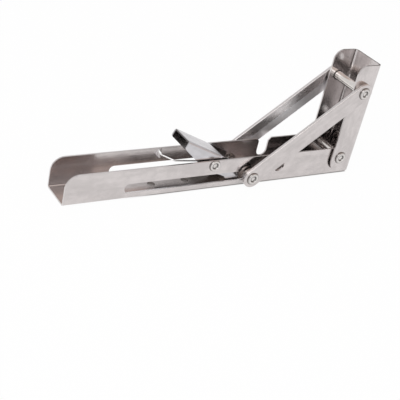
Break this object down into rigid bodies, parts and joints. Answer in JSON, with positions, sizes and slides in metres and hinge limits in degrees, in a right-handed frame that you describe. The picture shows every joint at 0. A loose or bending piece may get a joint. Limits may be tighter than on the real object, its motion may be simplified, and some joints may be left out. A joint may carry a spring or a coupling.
{
  "type": "folding shelf bracket",
  "caption": "Folding shelf bracket in stainless sheet: a channel arm hinged in a wall plate, held open by a sliding brace and freed by a sprung release lever.",
  "frame": {"origin": "corner where the shelf face (Z = 0) meets the wall face (X = 0), in the middle of the width", "axes": "+X into the wall, -X along the arm to its free end, +Z from the shelf face towards the open side of the arm and up the wall plate, +Y to the side with the spring tab; drawn lying on its shelf face, so in use on a wall it is the other way up"},
  "size_m": [0.3, 0.05, 0.1148],
  "materials": {
    "arm_sheet": "brushed stainless sheet, grain along the channel",
    "wall_sheet": "brushed stainless sheet, grain along the channel",
    "brace_sheet": "brushed stainless flat bar, grain along the bar",
    "lever_sheet": "brushed stainless sheet, a little brighter",
    "rivets": "smooth satin steel",
    "turned_parts": "bright turned steel",
    "washers": "dull dark steel",
    "spring_wire": "bright drawn wire"
  },
  "bodies": {
    "arm": {"arm_channel": "arm_sheet", "hinge_rivet": "rivets", "hinge_sleeve": "turned_parts", "hinge_washer_near": "washers", "hinge_washer_far": "washers", "lever_rivet": "rivets", "lever_spacer_near": "turned_parts", "lever_spacer_far": "turned_parts", "lever_spring": "spring_wire"},
    "wall": {"wall_plate": "wall_sheet", "brace_rivet": "rivets", "brace_sleeve": "turned_parts", "brace_washer_near": "washers", "brace_washer_far": "washers"},
    "brace": {"brace_bar_near": "brace_sheet", "brace_bar_far": "brace_sheet", "slide_rivet_near": "rivets", "slide_rivet_far": "rivets"},
    "pin": {"slide_pin_near": "rivets", "slide_pin_far": "rivets", "slide_sleeve_near": "turned_parts", "slide_sleeve_far": "turned_parts", "slide_washer_near": "washers", "slide_washer_far": "washers"},
    "lever": {"release_lever": "lever_sheet"}
  },
  "joints": [
    {"name": "fold", "type": "hinge", "parent": "arm", "child": "wall", "pos_m": [-0.0158, 0, 0.0192], "axis": [0, -1, 0], "range_deg": [0, 90]},
    {"name": "brace_pivot", "type": "hinge", "parent": "wall", "child": "brace", "pos_m": [-0.0158, 0, 0.0892], "axis": [0, 1, 0], "range_deg": [0, 123.43]},
    {"name": "pin_slide", "type": "slide", "parent": "arm", "child": "pin", "axis": [-1, 0, 0], "range_m": [0, 0.09646]},
    {"name": "lever_press", "type": "hinge", "parent": "arm", "child": "lever", "pos_m": [-0.1588, 0, 0.0236], "axis": [0, -1, 0], "range_deg": [0, 27], "stiffness_Nm_per_rad": 0.4, "springref_deg": -28.65, "deforming": ["lever_spring"]}
  ],
  "couplings": [
    {"joint": "brace_pivot", "follows": "fold", "ratio": 1.3713},
    {"joint": "pin_slide", "follows": "fold", "m_per_rad": 0.061379}
  ]
}
